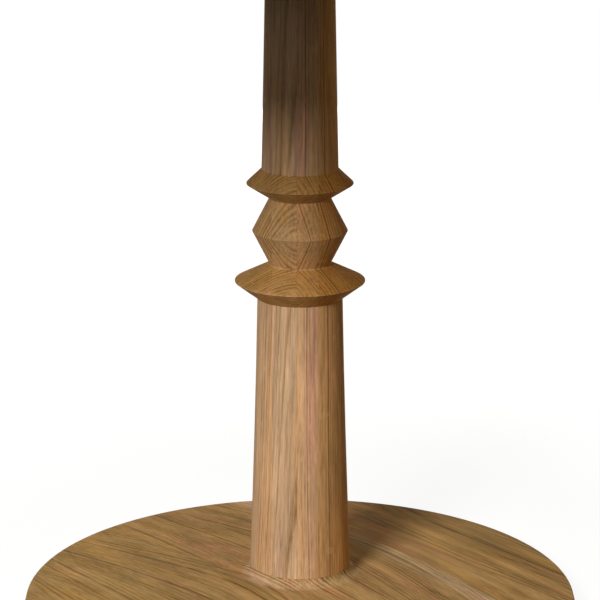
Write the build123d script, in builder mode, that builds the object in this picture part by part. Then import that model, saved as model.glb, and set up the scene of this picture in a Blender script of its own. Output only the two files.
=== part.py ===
from build123d import *
import os

# Turned oak pedestal leg: a column with three ridged beads, bolted to a round base, with a steel
# plate on its upper end. Millimetres, +Z up, origin on the floor under the middle of the base.

# Overall height, from the floor to the top plate's upper face
leg_height = 732.0

# Base disc
base_radius = 315.0
base_arris_inset = 3.0
base_rim_height = 19.0
base_bevel_height = 7.0
base_bevel_width = 8.0
base_cone_rise = 25.0
base_edge_round = 1.5

# Boss in the middle of the base, with a cove round it
boss_radius = 57.0
boss_height = 10.3
cove_width = 7.8
cove_hollow = 2.4

# Lower shaft: a shallow hollow curve that flares to the foot
lower_shaft_length = 313.0
lower_shaft_top_radius = 47.4
lower_shaft_hollow = 0.85
foot_edge_chamfer = 0.3

# Three beads, from the lowest up: flank below the ridge, ridge radius, flank above the ridge
lower_bead = (19.3, 72.8, 19.4)
middle_bead = (37.3, 52.8, 37.1)
upper_bead = (16.3, 59.3, 16.3)
lower_neck_radius = 33.9
upper_neck_radius = 33.8
ridge_round = 0.5
neck_round = 1.2

# Upper shaft: a straight taper to the plate
upper_shaft_foot_radius = 42.3
upper_shaft_top_radius = 37.9

# Tenon under the column's foot
tenon_radius = 25.0
tenon_length = 24.0
tenon_chamfer = 2.0
mortise_clearance = 0.1
mortise_end_gap = 1.0

# Threaded inserts in both ends of the column
insert_count = 4
insert_radius = 6.0
insert_length = 20.0
insert_clearance = 0.05
insert_edge_wall = 9.0
insert_hole_spare = 8.0

# Thread shared by the plate screws, the base bolts and the inserts
thread_radius = 4.0
thread_clearance = 0.05
through_hole_radius = 4.5
hex_socket_size = 5.0
hex_socket_depth = 3.0
countersink_angle = 90.0

# Top plate
plate_radius = 140.0
plate_thickness = 6.0
plate_edge_chamfer = 0.8
fixing_hole_count = 8
fixing_hole_radius = 3.25
fixing_head_radius = 6.5
fixing_edge_distance = 15.0

# Countersunk screws that hold the plate on the column
plate_screw_length = 30.0
plate_screw_head_radius = 7.5
plate_screw_sink = 0.3

# Bolts and washers under the base
base_bolt_length = 60.0
bolt_head_radius = 6.5
bolt_head_height = 8.0
washer_radius = 12.0
washer_thickness = 2.0
counterbore_radius = 13.0
counterbore_depth = 14.0

# Glides and their wood screws
glide_count = 6
glide_radius = 14.0
glide_thickness = 4.0
glide_edge_chamfer = 0.8
glide_edge_distance = 8.0
glide_screw_radius = 2.0
glide_screw_length = 17.0
glide_screw_head_radius = 3.9
glide_screw_sink = 0.5
glide_screw_clearance = 0.05
glide_pilot_spare = 1.0

# Heights that follow from the sizes
base_underside = glide_thickness
base_arris = base_underside + base_rim_height
cove_foot = base_arris + base_cone_rise
column_foot = cove_foot + boss_height
plate_underside = leg_height - plate_thickness
counterbore_end = base_underside + counterbore_depth
washer_underside = counterbore_end - washer_thickness

# Circles that the fixings stand on
top_insert_circle = upper_shaft_top_radius - insert_edge_wall - insert_radius
foot_insert_circle = (tenon_radius + boss_radius) / 2
fixing_circle = plate_radius - fixing_edge_distance
glide_circle = base_radius - base_bevel_width - glide_edge_distance - glide_radius
insert_hole_radius = insert_radius + insert_clearance
insert_hole_depth = insert_length + insert_hole_spare

# Upward alignment and the angle that sets four fixings between the axes
from_below = (Align.CENTER, Align.CENTER, Align.MIN)
between_axes = 45.0

# Ridges and necks of the three beads, as radius and height, starting on the lower shaft
bead_necks = [lower_neck_radius, upper_neck_radius, upper_shaft_foot_radius]
bead_line = [(lower_shaft_top_radius, column_foot + lower_shaft_length)]
for (flank_below, ridge_radius, flank_above), neck_radius in zip(
    [lower_bead, middle_bead, upper_bead], bead_necks
):
    ridge_height = bead_line[-1][1] + flank_below
    bead_line.append((ridge_radius, ridge_height))
    bead_line.append((neck_radius, ridge_height + flank_above))
bead_rounds = [ridge_round, neck_round] * 2 + [ridge_round]

# Column: one turned piece, with its tenon and the insert holes in both ends
with BuildPart() as column:
    with BuildSketch(Plane.XZ) as column_section:
        with BuildLine() as column_outline:
            tenon_end = column_foot - tenon_length
            FilletPolyline(
                (0, tenon_end),
                (tenon_radius, tenon_end),
                (tenon_radius, column_foot),
                radius=tenon_chamfer,
            )
            foot_edge = (boss_radius, column_foot + foot_edge_chamfer)
            Polyline(
                (tenon_radius, column_foot),
                (boss_radius - foot_edge_chamfer, column_foot),
                foot_edge,
            )
            SagittaArc(foot_edge, bead_line[0], lower_shaft_hollow)
            FilletPolyline(*bead_line, radius=bead_rounds)
            Polyline(
                bead_line[-1],
                (upper_shaft_top_radius, plate_underside),
                (0, plate_underside),
                (0, tenon_end),
            )
        make_face()
    revolve(axis=Axis.Z)
    with Locations(Plane.XY.offset(plate_underside)):
        with PolarLocations(top_insert_circle, insert_count, start_angle=between_axes):
            Hole(insert_hole_radius, insert_hole_depth)
    with Locations(Plane((0, 0, column_foot), z_dir=(0, 0, -1))):
        with PolarLocations(foot_insert_circle, insert_count, start_angle=between_axes):
            Hole(insert_hole_radius, insert_hole_depth)

# Base disc: a low cone with a coved boss, a mortise, bolt holes and pilot holes for the glides
with BuildPart() as base_disc:
    with BuildSketch(Plane.XZ) as base_section:
        with BuildLine() as base_outline:
            FilletPolyline(
                (0, base_underside),
                (base_radius - base_bevel_width, base_underside),
                (base_radius, base_underside + base_bevel_height),
                (base_radius - base_arris_inset, base_arris),
                (boss_radius + cove_width, cove_foot),
                radius=[0, base_edge_round, base_edge_round],
            )
            SagittaArc((boss_radius + cove_width, cove_foot), (boss_radius, column_foot), cove_hollow)
            Polyline((boss_radius, column_foot), (0, column_foot), (0, base_underside))
        make_face()
    revolve(axis=Axis.Z)
    with Locations(Plane.XY.offset(column_foot)):
        Hole(tenon_radius + mortise_clearance, tenon_length + mortise_end_gap)
    with Locations(Plane((0, 0, base_underside), z_dir=(0, 0, -1))):
        with PolarLocations(foot_insert_circle, insert_count, start_angle=between_axes):
            CounterBoreHole(through_hole_radius, counterbore_radius, counterbore_depth)
        with PolarLocations(glide_circle, glide_count):
            Hole(
                glide_screw_radius + glide_screw_clearance,
                glide_screw_length + glide_screw_sink + glide_pilot_spare - glide_thickness,
            )

# Top plate: four screws hold it on the column, and the ring of holes fixes what the leg carries
with BuildPart() as top_plate:
    with BuildSketch(Plane.XY.offset(plate_underside)):
        Circle(plate_radius)
    extrude(amount=plate_thickness)
    chamfer(top_plate.edges(), plate_edge_chamfer)
    with Locations(Plane.XY.offset(leg_height)):
        with PolarLocations(top_insert_circle, insert_count, start_angle=between_axes):
            CounterSinkHole(
                through_hole_radius,
                plate_screw_head_radius + plate_screw_sink,
                counter_sink_angle=countersink_angle,
            )
    with Locations(Plane((0, 0, plate_underside), z_dir=(0, 0, -1))):
        with PolarLocations(fixing_circle, fixing_hole_count):
            CounterSinkHole(
                fixing_hole_radius,
                fixing_head_radius,
                counter_sink_angle=countersink_angle,
            )


def threaded_inserts(circle, lower_end):
    """Ring of threaded inserts, open through their middle, standing on one height."""
    with BuildPart() as inserts:
        with BuildSketch(Plane.XY.offset(lower_end)):
            with PolarLocations(circle, insert_count, start_angle=between_axes):
                Circle(insert_radius)
                Circle(thread_radius + thread_clearance, mode=Mode.SUBTRACT)
        extrude(amount=insert_length)
    return inserts


top_inserts = threaded_inserts(top_insert_circle, plate_underside - insert_length)
foot_inserts = threaded_inserts(foot_insert_circle, column_foot)

# Plate screws: countersunk heads just below the plate's upper face, driven by a hex socket
plate_screw_top = leg_height - plate_screw_sink
plate_screw_head_height = plate_screw_head_radius - thread_radius
with BuildPart() as top_plate_screws:
    with Locations((0, 0, plate_screw_top - plate_screw_length)):
        with PolarLocations(top_insert_circle, insert_count, start_angle=between_axes):
            Cylinder(thread_radius, plate_screw_length, align=from_below)
    with Locations((0, 0, plate_screw_top - plate_screw_head_height)):
        with PolarLocations(top_insert_circle, insert_count, start_angle=between_axes):
            Cone(thread_radius, plate_screw_head_radius, plate_screw_head_height, align=from_below)
    with BuildSketch(Plane.XY.offset(plate_screw_top)):
        with PolarLocations(top_insert_circle, insert_count, start_angle=between_axes):
            RegularPolygon(hex_socket_size / 2, 6, major_radius=False)
    extrude(amount=-hex_socket_depth, mode=Mode.SUBTRACT)

# Base bolts: socket heads in the counterbores, threads up into the column's inserts
bolt_head_underside = washer_underside - bolt_head_height
with BuildPart() as base_bolts:
    with Locations((0, 0, bolt_head_underside)):
        with PolarLocations(foot_insert_circle, insert_count, start_angle=between_axes):
            Cylinder(bolt_head_radius, bolt_head_height, align=from_below)
    with Locations((0, 0, washer_underside)):
        with PolarLocations(foot_insert_circle, insert_count, start_angle=between_axes):
            Cylinder(thread_radius, base_bolt_length, align=from_below)
    with BuildSketch(Plane.XY.offset(bolt_head_underside)):
        with PolarLocations(foot_insert_circle, insert_count, start_angle=between_axes):
            RegularPolygon(hex_socket_size / 2, 6, major_radius=False)
    extrude(amount=hex_socket_depth, mode=Mode.SUBTRACT)

# Washers between the bolt heads and the ceilings of the counterbores
with BuildPart() as base_washers:
    with BuildSketch(Plane.XY.offset(washer_underside)):
        with PolarLocations(foot_insert_circle, insert_count, start_angle=between_axes):
            Circle(washer_radius)
            Circle(through_hole_radius, mode=Mode.SUBTRACT)
    extrude(amount=washer_thickness)

# Glides: low pads under the rim, countersunk from below
with BuildPart() as glides:
    with BuildSketch():
        with PolarLocations(glide_circle, glide_count):
            Circle(glide_radius)
    extrude(amount=glide_thickness)
    chamfer(glides.edges().group_by(Axis.Z)[0], glide_edge_chamfer)
    with Locations(Plane((0, 0, 0), z_dir=(0, 0, -1))):
        with PolarLocations(glide_circle, glide_count):
            CounterSinkHole(
                glide_screw_radius + glide_screw_clearance,
                glide_screw_head_radius + glide_screw_sink,
                counter_sink_angle=countersink_angle,
            )

# Glide screws: heads a little above the floor, points in the base
glide_screw_head_height = glide_screw_head_radius - glide_screw_radius
with BuildPart() as glide_screws:
    with Locations((0, 0, glide_screw_sink)):
        with PolarLocations(glide_circle, glide_count):
            Cone(glide_screw_head_radius, glide_screw_radius, glide_screw_head_height, align=from_below)
            Cylinder(glide_screw_radius, glide_screw_length, align=from_below)

os.makedirs("parts", exist_ok=True)

column.part.label = "column"
export_step(column.part, "parts/column.step")
base_disc.part.label = "base_disc"
export_step(base_disc.part, "parts/base_disc.step")
top_plate.part.label = "top_plate"
export_step(top_plate.part, "parts/top_plate.step")
top_plate_screws.part.label = "top_plate_screws"
export_step(top_plate_screws.part, "parts/top_plate_screws.step")
top_inserts.part.label = "top_inserts"
export_step(top_inserts.part, "parts/top_inserts.step")
foot_inserts.part.label = "foot_inserts"
export_step(foot_inserts.part, "parts/foot_inserts.step")
base_bolts.part.label = "base_bolts"
export_step(base_bolts.part, "parts/base_bolts.step")
base_washers.part.label = "base_washers"
export_step(base_washers.part, "parts/base_washers.step")
glides.part.label = "glides"
export_step(glides.part, "parts/glides.step")
glide_screws.part.label = "glide_screws"
export_step(glide_screws.part, "parts/glide_screws.step")
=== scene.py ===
import math

import bpy
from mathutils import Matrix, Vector

# Looks of a turned oak pedestal leg: oiled oak with growth rings, pores and rays, a black plate
# on top and plated fixings. Metres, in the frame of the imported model.

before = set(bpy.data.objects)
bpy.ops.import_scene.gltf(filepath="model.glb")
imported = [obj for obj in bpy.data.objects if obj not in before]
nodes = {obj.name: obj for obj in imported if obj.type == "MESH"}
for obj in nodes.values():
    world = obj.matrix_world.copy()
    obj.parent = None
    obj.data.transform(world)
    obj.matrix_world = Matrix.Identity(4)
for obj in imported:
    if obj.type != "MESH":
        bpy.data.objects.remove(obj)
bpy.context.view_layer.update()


# Small helpers for building node trees

class Tree:
    """Node tree of a material or world, with short calls for the nodes that are used here."""

    def __init__(self, owner, output="ShaderNodeOutputMaterial"):
        owner.use_nodes = True
        self.owner = owner
        self.nodes = owner.node_tree.nodes
        self.links = owner.node_tree.links
        self.nodes.clear()
        self.output = self.new(output)

    def new(self, kind):
        return self.nodes.new(kind)

    def feed(self, socket, value):
        """Links a socket, or sets it when the value is a plain number, tuple or colour."""
        if isinstance(value, bpy.types.NodeSocket):
            self.links.new(value, socket)
        elif value is not None:
            socket.default_value = value

    def math(self, operation, first, second=None, third=None, clamp=False):
        node = self.new("ShaderNodeMath")
        node.operation = operation
        node.use_clamp = clamp
        for socket, value in zip(node.inputs, (first, second, third)):
            self.feed(socket, value)
        return node.outputs[0]

    def total(self, *terms):
        result = terms[0]
        for term in terms[1:]:
            result = self.math("ADD", result, term)
        return result

    def product(self, first, second):
        return self.math("MULTIPLY", first, second)

    def minus(self, first, second):
        return self.math("SUBTRACT", first, second)

    def scaled(self, value, factor, offset=0.0):
        return self.math("MULTIPLY_ADD", value, factor, offset)

    def between(self, share, low, high):
        """Number that goes from low to high while the share goes from 0 to 1."""
        return self.scaled(share, high - low, low)

    def stairs(self, place, edges, values):
        """Number that changes from one value to the next at each edge."""
        result = values[0]
        for edge, before, after in zip(edges, values, values[1:]):
            past_edge = self.math("GREATER_THAN", place, edge)
            result = self.scaled(past_edge, after - before, result)
        return result

    def vector(self, operation, first, second=None):
        node = self.new("ShaderNodeVectorMath")
        node.operation = operation
        self.feed(node.inputs[0], first)
        self.feed(node.inputs[1], second)
        return node.outputs["Value" if operation in ("DOT_PRODUCT", "LENGTH") else "Vector"]

    def split(self, vector):
        node = self.new("ShaderNodeSeparateXYZ")
        self.feed(node.inputs[0], vector)
        return node.outputs

    def join(self, x, y, z):
        node = self.new("ShaderNodeCombineXYZ")
        for socket, value in zip(node.inputs, (x, y, z)):
            self.feed(socket, value)
        return node.outputs[0]

    def position(self):
        return self.new("ShaderNodeTexCoord").outputs["Object"]

    def surface_normal(self):
        return self.new("ShaderNodeNewGeometry").outputs["Normal"]

    def noise(self, vector, scale, detail=2.0, roughness=0.5):
        """Noise about zero, roughly from -0.5 to 0.5."""
        node = self.new("ShaderNodeTexNoise")
        self.feed(node.inputs["Vector"], vector)
        node.inputs["Scale"].default_value = scale
        node.inputs["Detail"].default_value = detail
        node.inputs["Roughness"].default_value = roughness
        return self.minus(node.outputs["Fac"], 0.5)

    def fibre_noise(self, grain, squeeze, scale, detail=2.0, roughness=0.5):
        """Noise in streaks along the third axis: the smaller the squeeze, the longer they are."""
        return self.noise(self.vector("MULTIPLY", grain, (1.0, 1.0, squeeze)), scale, detail, roughness)

    def cells(self, vector, sizes):
        """Distance to the nearest of many scattered points, in cells of the given sizes."""
        node = self.new("ShaderNodeTexVoronoi")
        scales = tuple(1.0 / size for size in sizes)
        self.feed(node.inputs["Vector"], self.vector("MULTIPLY", vector, scales))
        node.inputs["Scale"].default_value = 1.0
        return node.outputs["Distance"]

    def random(self, number, seed):
        """Random number from 0 to 1 for a whole number, such as a board's."""
        node = self.new("ShaderNodeTexWhiteNoise")
        node.noise_dimensions = "1D"
        self.feed(node.inputs["W"], self.math("ADD", number, seed))
        return node.outputs["Value"]

    def step(self, value, start, end):
        """Smooth step from 0 at start to 1 at end, where either may be the larger."""
        node = self.new("ShaderNodeMapRange")
        node.interpolation_type = "SMOOTHSTEP"
        self.feed(node.inputs["Value"], value)
        node.inputs["From Min"].default_value = min(start, end)
        node.inputs["From Max"].default_value = max(start, end)
        node.inputs["To Min"].default_value = 0.0 if start < end else 1.0
        node.inputs["To Max"].default_value = 1.0 if start < end else 0.0
        return node.outputs["Result"]

    def ramp(self, factor, stops):
        """Colour that eases through a few (place, colour) stops."""
        node = self.new("ShaderNodeValToRGB")
        self.feed(node.inputs[0], factor)
        node.color_ramp.interpolation = "EASE"
        elements = node.color_ramp.elements
        while len(elements) < len(stops):
            elements.new(0.5)
        for element, (place, color) in zip(elements, stops):
            element.position = place
            element.color = (*color, 1.0)
        return node.outputs["Color"]

    def curve(self, factor, stops):
        """Number that eases through a few (place, value) stops."""
        color = self.ramp(factor, [(place, (value,) * 3) for place, value in stops])
        return self.split(color)[0]

    def mix(self, factor, first, second, blend="MIX"):
        """Mix of two colours, each a socket or three numbers."""
        node = self.new("ShaderNodeMix")
        node.data_type = "RGBA"
        node.blend_type = blend
        self.feed(node.inputs["Factor"], factor)
        colors = [socket for socket in node.inputs if socket.type == "RGBA"]
        for socket, color in zip(colors, (first, second)):
            self.feed(socket, (*color, 1.0) if isinstance(color, tuple) else color)
        return [socket for socket in node.outputs if socket.type == "RGBA"][0]

    def tinted(self, color, tint):
        """Colour times a colour."""
        return self.mix(1.0, color, tint, "MULTIPLY")

    def shaded(self, color, shade):
        """Colour times a number."""
        return self.tinted(color, self.join(shade, shade, shade))

    def bump(self, height, distance, strength):
        node = self.new("ShaderNodeBump")
        node.inputs["Strength"].default_value = strength
        node.inputs["Distance"].default_value = distance
        self.feed(node.inputs["Height"], height)
        return node.outputs["Normal"]

    def emitter(self, kind, color, strength):
        """Emission or Background shader of a colour and strength."""
        node = self.new(kind)
        node.inputs["Color"].default_value = (*color, 1.0)
        self.feed(node.inputs["Strength"], strength)
        return node.outputs[0]

    def finish(self, shader):
        """Puts a shader on the output and returns the material or world."""
        self.feed(self.output.inputs["Surface"], shader)
        return self.owner

    def principled(self, color, roughness, normal, **settings):
        shader = self.new("ShaderNodeBsdfPrincipled")
        self.feed(shader.inputs["Base Color"], color)
        self.feed(shader.inputs["Roughness"], roughness)
        self.feed(shader.inputs["Normal"], normal)
        for name, value in settings.items():
            shader.inputs[name.replace("_", " ")].default_value = value
        return self.finish(shader.outputs[0])


# Oak colours
PORE = (0.150, 0.068, 0.020)
EARLY_WOOD = (0.345, 0.185, 0.078)
LATE_WOOD = (0.520, 0.318, 0.178)
DARK_LINE = (0.232, 0.116, 0.044)
PALE_RAY = (0.620, 0.400, 0.205)
PINK_TINT = (1.045, 0.95, 1.00)
OLIVE_TINT = (0.98, 1.01, 0.94)
GOLD_TINT = (1.02, 0.965, 0.78)
HUE_STOPS = ((0.15, PINK_TINT), (0.50, OLIVE_TINT), (0.85, GOLD_TINT))

# Growth rings: their width and its unevenness, and across one ring how porous or dense it is
RING_WIDTH = 0.0040
RING_RIPPLE = 0.0020
SPACING_SCALE = 0.30
SPACING_SHIFT = 3.0
POROUS_STOPS = ((0.0, 0.50), (0.12, 1.0), (0.32, 0.50), (0.60, 0.0), (1.0, 0.25))
DENSE_STOPS = ((0.45, 0.0), (0.70, 1.0), (0.95, 0.0))

# How clear a ring is: by its own chance, where the fibres end, and fading along its length
RING_STRENGTH = (0.10, 1.0)
STRENGTH_ON_END = 0.18
FADING_DEPTH = 2.0
DARK_RINGS = (0.70, 1.0)
PALE_LINE_SLOPES = (0.15, 0.60)
PALE_LINE_STRENGTH = 0.80
END_TINT_SLOPES = (0.10, 0.70)

# Vessels and rays at their real size
VESSEL_CELL = (0.0009, 0.0009, 0.026)
VESSEL_SIZE = (0.08, 0.32)
VESSEL_EDGE = 0.16
PORE_DARKNESS = 0.70
RAY_CELL = (0.0026, 0.050, 0.030)
RAY_RADIUS = 0.09
RAY_EDGE = (0.19, 0.11)
RAY_STRENGTH = (0.34, 0.60)

# Noise along the fibre: its squeeze, scale, detail and roughness, as in Tree.fibre_noise
RIPPLE = (0.10, 75.0)
FADING = (0.20, 55.0)
FINE = (0.050, 1100.0, 2.0, 0.6)
STREAKS = (0.030, 430.0, 2.0, 0.6)
BROAD = (0.040, 120.0, 1.0)
CLOUDS = (0.22, 34.0)
BANDS = (0.05, 60.0, 2.0, 0.55)
PATCHES = (0.25, 10.0, 1.0)

# How much the noises change the shade and the hue
FINE_SHADE = 0.75
STREAK_SHADE = 0.95
BROAD_SHADE = 0.50
BAND_HUE = 1.7
PATCH_HUE = 0.9
MIDDLE_HUE = 0.5

# Sideways drift of the fibres along their length
DRIFT_SQUEEZE = 0.20
DRIFT_SCALE = 11.0
DRIFT_SHIFT = (3.7, 1.9, 5.3)

# Oiled surface
OAK_ROUGHNESS = 0.66
PORE_ROUGHNESS = 0.12
RAY_ROUGHNESS = -0.10
FINE_ROUGHNESS = 0.10
PORE_RELIEF = -1.0
FINE_RELIEF = 0.5
OAK_SPECULAR = 0.04


def oak(t, across, height, along, fibre_axis, tint, end_tint, seed, drift, unevenness):
    """Oak in its own axes: across and height span the end grain, with the pith at zero, and
    along runs with the fibre, whose direction is fibre_axis. The tint colours all of the wood
    and end_tint only its end grain. Returns the material."""
    along = t.math("ADD", along, seed)

    # The fibres drift a little sideways along their length
    slow = t.join(across, height, t.scaled(along, DRIFT_SQUEEZE))
    across = t.math("ADD", across, t.scaled(t.noise(slow, DRIFT_SCALE), drift))
    shifted = t.vector("ADD", slow, DRIFT_SHIFT)
    height = t.math("ADD", height, t.scaled(t.noise(shifted, DRIFT_SCALE), drift))
    grain = t.join(across, height, along)

    # Growth rings of uneven width, each with its own strength, clearest where the fibres end.
    # There the late wood between two porous rings also shows as a pale line.
    on_end = t.math("ABSOLUTE", t.vector("DOT_PRODUCT", t.surface_normal(), fibre_axis))
    distance = t.vector("LENGTH", t.join(across, height, 0.0))
    distance = t.math("ADD", distance, t.scaled(t.fibre_noise(grain, *RIPPLE), RING_RIPPLE))
    ring = t.math("DIVIDE", distance, RING_WIDTH)
    spacing = t.noise(t.join(ring, 0.0, seed), SPACING_SCALE, detail=1.0)
    ring = t.math("ADD", ring, t.scaled(spacing, SPACING_SHIFT))
    phase = t.math("FRACT", ring)
    chance = t.random(t.math("FLOOR", ring), seed)
    fading = t.fibre_noise(grain, *FADING)
    strength = t.total(t.between(chance, *RING_STRENGTH), t.scaled(on_end, STRENGTH_ON_END))
    strength = t.math("ADD", strength, t.scaled(fading, FADING_DEPTH), clamp=True)
    early = t.product(t.curve(phase, POROUS_STOPS), strength)
    darkest = t.product(t.step(chance, *DARK_RINGS), strength)
    pale_line = t.product(t.step(on_end, *PALE_LINE_SLOPES), strength)
    pale_line = t.product(t.curve(phase, DENSE_STOPS), pale_line)

    # Fibre streaks, from fine to broad
    fine = t.fibre_noise(grain, *FINE)
    streaks = t.fibre_noise(grain, *STREAKS)
    broad = t.fibre_noise(grain, *BROAD)
    clouds = t.fibre_noise(grain, *CLOUDS)
    shade = t.total(t.scaled(fine, FINE_SHADE, 1.0), t.scaled(streaks, STREAK_SHADE))
    shade = t.total(shade, t.scaled(broad, BROAD_SHADE), t.scaled(clouds, unevenness))

    # Vessels: thin dark dashes along the fibre, dots on the end grain, most of them early
    vessel_size = t.between(early, *VESSEL_SIZE)
    pores = t.step(t.minus(vessel_size, t.cells(grain, VESSEL_CELL)), 0.0, VESSEL_EDGE)

    # Rays: thin pale sheets that stand out from the pith
    angle = t.math("ARCTAN2", height, across)
    radial = t.join(t.scaled(angle, RAY_RADIUS), distance, along)
    ray = t.step(t.cells(radial, RAY_CELL), *RAY_EDGE)

    # Broad bands of pinker, greyer and more golden wood
    band = t.scaled(t.fibre_noise(grain, *BANDS), BAND_HUE, MIDDLE_HUE)
    patch = t.scaled(t.fibre_noise(grain, *PATCHES), PATCH_HUE)
    hue_tint = t.ramp(t.total(band, patch), HUE_STOPS)

    color = t.mix(early, LATE_WOOD, t.mix(darkest, EARLY_WOOD, DARK_LINE))
    color = t.shaded(color, shade)
    color = t.mix(t.scaled(pores, PORE_DARKNESS), color, PORE)
    color = t.mix(t.product(ray, t.between(on_end, *RAY_STRENGTH)), color, PALE_RAY)
    color = t.mix(t.scaled(pale_line, PALE_LINE_STRENGTH), color, PALE_RAY)
    color = t.tinted(t.tinted(color, hue_tint), tint)
    # The end tint darkens the end grain; on the column it also carries painted shade on the beads
    color = t.mix(t.step(on_end, *END_TINT_SLOPES), color, t.tinted(color, end_tint))

    roughness = t.total(
        t.scaled(pores, PORE_ROUGHNESS, OAK_ROUGHNESS),
        t.scaled(ray, RAY_ROUGHNESS),
        t.scaled(fine, FINE_ROUGHNESS),
    )
    relief = t.total(t.scaled(pores, PORE_RELIEF), t.scaled(fine, FINE_RELIEF))
    normal = t.bump(relief, distance=0.00010, strength=0.6)
    return t.principled(color, roughness, normal, Specular_IOR_Level=OAK_SPECULAR)


# Column: planks glued face to face and turned. Each came from its own log, whose pith lay outside
# the column and leans a little along it.
PLANK_JOINTS = (-0.031, -0.0035, 0.0200)
PLANK_GLUE_WIDTH = 0.00025
PLANK_GLUE_SHADE = 0.84
PITH_X = (-0.012, -0.008, -0.140, -0.128)
PITH_Y = (-0.140, -0.148, -0.140, -0.146)
PITH_LEAN = (0.012, -0.004)
PLANK_START = (0.91, 0.0, 0.37, 1.43)
# Colour of each plank, from the left: partly its own tone and partly painted light. The planks lit from
# the front left are paler and cooler, and the right plank is darker and more golden as painted shade.
PLANK_RED_AND_PAINTED_LIGHT = (1.05, 1.05, 1.06, 0.97)
PLANK_GREEN_AND_PAINTED_LIGHT = (1.06, 1.08, 1.02, 0.85)
PLANK_BLUE_AND_PAINTED_LIGHT = (1.17, 1.20, 1.05, 0.66)
# End grain of the column: its own darker tone, made more golden as painted shade on the beads
COLUMN_END_TINT_AND_PAINTED_SHADE = (0.90, 0.78, 0.46)
COLUMN_SEED = 2.6
COLUMN_DRIFT = 0.007
COLUMN_UNEVENNESS = 0.55


def column_oak():
    t = Tree(bpy.data.materials.new("column_oak"))
    x, y, z = t.split(t.position())
    pith_x = t.math("ADD", t.stairs(x, PLANK_JOINTS, PITH_X), t.scaled(z, PITH_LEAN[0]))
    pith_y = t.math("ADD", t.stairs(x, PLANK_JOINTS, PITH_Y), t.scaled(z, PITH_LEAN[1]))
    across = t.minus(x, pith_x)
    height = t.minus(y, pith_y)
    along = t.math("ADD", z, t.stairs(x, PLANK_JOINTS, PLANK_START))

    # The glue lines are a little darker
    left, middle, right = (t.math("ABSOLUTE", t.minus(x, joint)) for joint in PLANK_JOINTS)
    nearest = t.math("MINIMUM", t.math("MINIMUM", left, middle), right)
    glue = t.between(t.step(nearest, 0.0, PLANK_GLUE_WIDTH), PLANK_GLUE_SHADE, 1.0)
    # The plank colours carry painted light as well as each plank's own tone
    planks = (PLANK_RED_AND_PAINTED_LIGHT, PLANK_GREEN_AND_PAINTED_LIGHT, PLANK_BLUE_AND_PAINTED_LIGHT)
    tint = t.join(*(t.product(glue, t.stairs(x, PLANK_JOINTS, part)) for part in planks))

    fibre_axis = (0.0, 0.0, 1.0)
    return oak(
        t, across, height, along, fibre_axis, tint, COLUMN_END_TINT_AND_PAINTED_SHADE,
        seed=COLUMN_SEED, drift=COLUMN_DRIFT, unevenness=COLUMN_UNEVENNESS,
    )


# Base: boards glued edge to edge, running obliquely, each cut from its own part of a log
BOARD_ANGLE = math.radians(-52.0)
BOARD_WIDTH = 0.101
FIRST_JOINT = -0.262
BOARD_GLUE_WIDTH = 0.0004
BOARD_GLUE_SHADE = -0.18
BOARD_START = 1.7
BASE_GREEN = 0.98
BASE_BLUE = 0.72
BASE_END_TINT = (0.96, 0.91, 0.80)
BASE_SEED = 4.1
BASE_DRIFT = 0.012
BASE_UNEVENNESS = 1.10

# What differs from board to board: the seed of each draw and its range
PITH_SHIFT_SEED = 17.3
PITH_SHIFT = (-0.12, 0.12)
PITH_DEPTH_SEED = 5.7
PITH_DEPTH = (0.05, 0.10)
BOARD_LEAN_SEED = 8.9
BOARD_LEAN = (-0.01, 0.01)
LIGHTNESS_SEED = 16.6
LIGHTNESS = (0.80, 1.02)
REDNESS_SEED = 7.7
REDNESS = (0.975, 1.025)
SAPWOOD_SEED = 33.3
SAPWOOD_CHANCE = (0.60, 0.90)

# Pale sapwood at the edge of some boards
SAPWOOD_REACH = (0.60, 0.88)
SAPWOOD_LIGHTNESS = 0.38
SAPWOOD_GREEN = 0.14
SAPWOOD_BLUE = 0.44

# Turned boss and its cove, which cut across the fibres and come out paler and pinker
BOSS_EDGE = (0.069, 0.061)
BOSS_LIGHTNESS = 0.06
BOSS_GREEN = 0.12
BOSS_BLUE = 0.35


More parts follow.
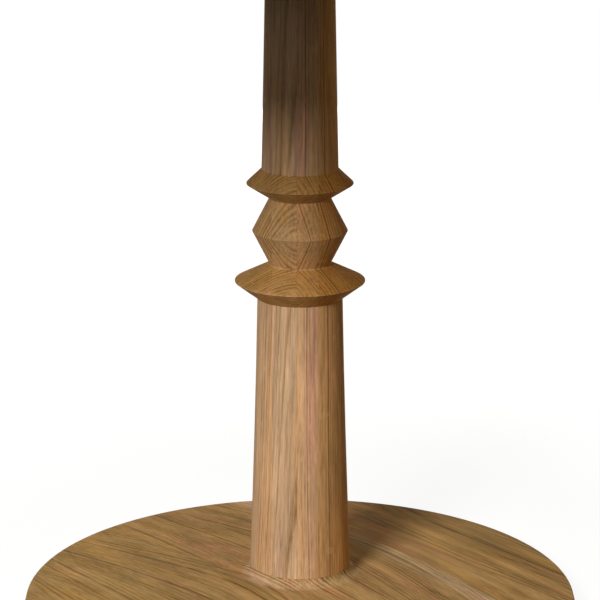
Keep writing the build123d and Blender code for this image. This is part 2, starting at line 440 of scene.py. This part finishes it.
def base_oak():
    t = Tree(bpy.data.materials.new("base_oak"))
    place = t.position()
    fibre_axis = (math.cos(BOARD_ANGLE), math.sin(BOARD_ANGLE), 0.0)
    side_axis = (-math.sin(BOARD_ANGLE), math.cos(BOARD_ANGLE), 0.0)
    along = t.vector("DOT_PRODUCT", place, fibre_axis)
    side = t.vector("DOT_PRODUCT", place, side_axis)
    x, y, z = t.split(place)
    boards = t.math("DIVIDE", t.minus(side, FIRST_JOINT), BOARD_WIDTH)
    board = t.math("FLOOR", boards)
    in_board = t.math("FRACT", boards)

    # Pith of each board: somewhere below it, to one side, and leaning a little along it
    shift = t.between(t.random(board, PITH_SHIFT_SEED), *PITH_SHIFT)
    centre = t.scaled(board, BOARD_WIDTH, FIRST_JOINT + BOARD_WIDTH / 2)
    across = t.minus(t.minus(side, centre), shift)
    depth = t.between(t.random(board, PITH_DEPTH_SEED), *PITH_DEPTH)
    lean = t.between(t.random(board, BOARD_LEAN_SEED), *BOARD_LEAN)
    height = t.total(t.product(along, lean), z, depth)
    along = t.math("MULTIPLY_ADD", board, BOARD_START, along)

    # Each board has its own shade, and the glue line is a hair darker
    lightness = t.between(t.random(board, LIGHTNESS_SEED), *LIGHTNESS)
    redness = t.between(t.random(board, REDNESS_SEED), *REDNESS)
    edge = t.math("MINIMUM", in_board, t.minus(1.0, in_board))
    glue = t.step(edge, BOARD_GLUE_WIDTH / BOARD_WIDTH, 0.0)
    sapwood = t.step(t.random(board, SAPWOOD_SEED), *SAPWOOD_CHANCE)
    sapwood = t.product(t.step(in_board, *SAPWOOD_REACH), sapwood)
    boss = t.step(t.vector("LENGTH", t.join(x, y, 0.0)), *BOSS_EDGE)
    lightness = t.total(
        lightness,
        t.scaled(glue, BOARD_GLUE_SHADE),
        t.scaled(sapwood, SAPWOOD_LIGHTNESS),
        t.scaled(boss, BOSS_LIGHTNESS),
    )
    greenness = t.total(t.scaled(sapwood, SAPWOOD_GREEN, BASE_GREEN), t.scaled(boss, BOSS_GREEN))
    blueness = t.total(t.scaled(sapwood, SAPWOOD_BLUE, BASE_BLUE), t.scaled(boss, BOSS_BLUE))
    tint = t.join(*(t.product(lightness, part) for part in (redness, greenness, blueness)))
    return oak(
        t, across, height, along, fibre_axis, tint, BASE_END_TINT,
        seed=BASE_SEED, drift=BASE_DRIFT, unevenness=BASE_UNEVENNESS,
    )


def powder_coat(name, color):
    """Fine-textured powder coating on steel."""
    t = Tree(bpy.data.materials.new(name))
    place = t.position()
    fleck = t.noise(place, scale=1400.0)
    coated = t.shaded(color, t.scaled(fleck, 0.5, 1.0))
    roughness = t.scaled(t.noise(place, scale=30.0), 0.10, 0.46)
    normal = t.bump(t.noise(place, scale=900.0), distance=0.00008, strength=0.5)
    return t.principled(coated, roughness, normal, Specular_IOR_Level=0.20)


def bare_metal(name, color, roughness):
    """Plated or turned metal, with faint tool marks round the part."""
    t = Tree(bpy.data.materials.new(name))
    place = t.position()
    cloud = t.noise(place, scale=220.0, detail=3.0)
    marks = t.fibre_noise(place, squeeze=12.0, scale=900.0)
    metal = t.shaded(color, t.scaled(cloud, 0.22, 1.0))
    uneven = t.scaled(t.math("ADD", cloud, marks), 0.12, roughness)
    return t.principled(metal, uneven, t.bump(marks, distance=0.00003, strength=0.5), Metallic=1.0)


def moulded_nylon(name, color):
    """Matt moulded nylon with a fine grain."""
    t = Tree(bpy.data.materials.new(name))
    place = t.position()
    grain = t.noise(place, scale=1800.0)
    nylon = t.shaded(color, t.scaled(t.noise(place, scale=60.0), 0.14, 1.0))
    roughness = t.scaled(grain, 0.15, 0.55)
    return t.principled(nylon, roughness, t.bump(grain, distance=0.00004, strength=0.5))


def dress(node_names, material):
    """Gives CAD nodes a material in every slot."""
    for name in node_names:
        for slot in nodes[name].material_slots:
            slot.link = "OBJECT"
            slot.material = material


# Colours of the fittings
BLACK_COAT = (0.018, 0.018, 0.019)
ZINC = (0.62, 0.63, 0.64)
BRASS = (0.78, 0.58, 0.27)
GREY_NYLON = (0.30, 0.29, 0.28)
ZINC_NODES = ("top_plate_screws", "base_bolts", "base_washers", "glide_screws")

dress(["column"], column_oak())
dress(["base_disc"], base_oak())
dress(["top_plate"], powder_coat("black_powder_coat", BLACK_COAT))
dress(ZINC_NODES, bare_metal("zinc_plate", ZINC, roughness=0.34))
dress(["top_inserts", "foot_inserts"], bare_metal("turned_brass", BRASS, roughness=0.30))
dress(["glides"], moulded_nylon("grey_nylon", GREY_NYLON))


# Light and surroundings
WHITE = (1.0, 1.0, 1.0)
WARM_WHITE = (1.0, 0.92, 0.78)
WARM_FILL = (1.0, 0.77, 0.36)


def stage_object(name, corners, material):
    """Face with four corners that isn't part of the object."""
    mesh = bpy.data.meshes.new(name)
    mesh.from_pydata(corners, [], [(0, 1, 2, 3)])
    mesh.materials.append(material)
    staged = bpy.data.objects.new(name, mesh)
    bpy.context.scene.collection.objects.link(staged)
    return staged


def seen_directly(t):
    """1 for camera, glossy and transmission rays, 0 for the light that bounces."""
    paths = t.new("ShaderNodeLightPath").outputs
    seen = t.math("MAXIMUM", paths["Is Camera Ray"], paths["Is Glossy Ray"])
    return t.math("MAXIMUM", seen, paths["Is Transmission Ray"])


# Floor: pale, white to the camera and to reflections, and darker only where the leg shades it
FLOOR_SIZE = 30.0
FLOOR_COLOR = (0.14, 0.14, 0.14, 1.0)
FLOOR_GLOW = (0.92, 1.0)
GLOW_EDGE = (0.45, 1.0)


def build_floor():
    t = Tree(bpy.data.materials.new("floor_white"))
    diffuse = t.new("ShaderNodeBsdfDiffuse")
    diffuse.inputs["Color"].default_value = FLOOR_COLOR
    from_leg = t.vector("LENGTH", t.position())
    strength = t.product(seen_directly(t), t.between(t.step(from_leg, *GLOW_EDGE), *FLOOR_GLOW))
    both = t.new("ShaderNodeAddShader")
    t.feed(both.inputs[0], diffuse.outputs[0])
    t.feed(both.inputs[1], t.emitter("ShaderNodeEmission", WHITE, strength))
    half = FLOOR_SIZE / 2
    corners = [(-half, -half, 0), (half, -half, 0), (half, half, 0), (-half, half, 0)]
    stage_object("floor", corners, t.finish(both.outputs[0]))


# World: white where the camera or a reflection sees it, and a soft warm fill elsewhere
FILL_STRENGTH = 0.06


def build_world():
    t = Tree(bpy.data.worlds.new("studio"), "ShaderNodeOutputWorld")
    mix = t.new("ShaderNodeMixShader")
    t.feed(mix.inputs[0], seen_directly(t))
    t.feed(mix.inputs[1], t.emitter("ShaderNodeBackground", WARM_FILL, FILL_STRENGTH))
    t.feed(mix.inputs[2], t.emitter("ShaderNodeBackground", WHITE, 1.0))
    bpy.context.scene.world = t.finish(mix.outputs[0])


def around(azimuth, distance, height):
    """Point at an azimuth seen from above: 0 is in front of the leg, 90 to its right."""
    angle = math.radians(azimuth)
    return Vector((distance * math.sin(angle), -distance * math.cos(angle), height))


def soft_light(name, place, aim, size, power, color=WHITE, in_gloss=True):
    """Rectangular softbox that faces the leg's axis at the height of its aim."""
    data = bpy.data.lights.new(name, "AREA")
    data.shape = "RECTANGLE"
    data.size, data.size_y = size
    data.energy = power
    data.color = color
    light = bpy.data.objects.new(name, data)
    bpy.context.scene.collection.objects.link(light)
    light.location = place
    light.rotation_mode = "QUATERNION"
    light.rotation_quaternion = (Vector((0.0, 0.0, aim)) - place).to_track_quat("-Z", "Y")
    light.visible_camera = False
    light.visible_glossy = in_gloss


# Softboxes: a white key at the front left, a weak warm one at the right and a low one behind
KEY_AZIMUTH = -23.0


def build_lights():
    key = around(KEY_AZIMUTH, distance=3.2, height=1.97)
    side = around(105.0, distance=2.6, height=0.55)
    back = around(190.0, distance=3.0, height=0.25)
    soft_light("key", key, aim=0.30, size=(0.9, 1.3), power=136.0)
    soft_light("side_fill", side, 0.25, (0.8, 0.8), 7.0, WARM_FILL, in_gloss=False)
    soft_light("back_fill", back, 0.35, (1.3, 0.4), 36.0, WARM_WHITE, in_gloss=False)


# Scrim: a net between the key light and the leg's upper part, which stands in softer light
SCRIM_DISTANCE = 0.60
SCRIM_FOOT = 0.73
SCRIM_HEIGHT = 1.0
SCRIM_WIDTH = 1.8
SCRIM_PASSES = 0.03


def build_scrim():
    t = Tree(bpy.data.materials.new("scrim_net"))
    net = t.new("ShaderNodeBsdfTransparent")
    net.inputs["Color"].default_value = (SCRIM_PASSES, SCRIM_PASSES, SCRIM_PASSES, 1.0)
    sideways = around(KEY_AZIMUTH + 90.0, SCRIM_WIDTH / 2, 0.0)
    foot = around(KEY_AZIMUTH, SCRIM_DISTANCE, SCRIM_FOOT)
    head = around(KEY_AZIMUTH, SCRIM_DISTANCE, SCRIM_FOOT + SCRIM_HEIGHT)
    corners = [foot - sideways, foot + sideways, head + sideways, head - sideways]
    scrim = stage_object("scrim", corners, t.finish(net.outputs[0]))
    scrim.visible_camera = False
    scrim.visible_diffuse = False
    scrim.visible_glossy = False
    scrim.visible_transmission = False


# Camera: at the photograph's viewing angle, 15 degrees down, through a long lens
CAMERA_PLACE = (0.0, -2.8236, 1.1328)
CAMERA_PITCH = math.radians(15.17)
CAMERA_LENS = 158.04
SENSOR_WIDTH = 36.0


def build_camera():
    data = bpy.data.cameras.new("camera")
    data.sensor_width = SENSOR_WIDTH
    data.lens = CAMERA_LENS
    camera = bpy.data.objects.new("camera", data)
    bpy.context.scene.collection.objects.link(camera)
    camera.location = CAMERA_PLACE
    camera.rotation_euler = (math.radians(90.0) - CAMERA_PITCH, 0.0, 0.0)
    bpy.context.scene.camera = camera


build_floor()
build_scrim()
build_world()
build_camera()
build_lights()
bpy.context.scene.view_settings.view_transform = "Standard"
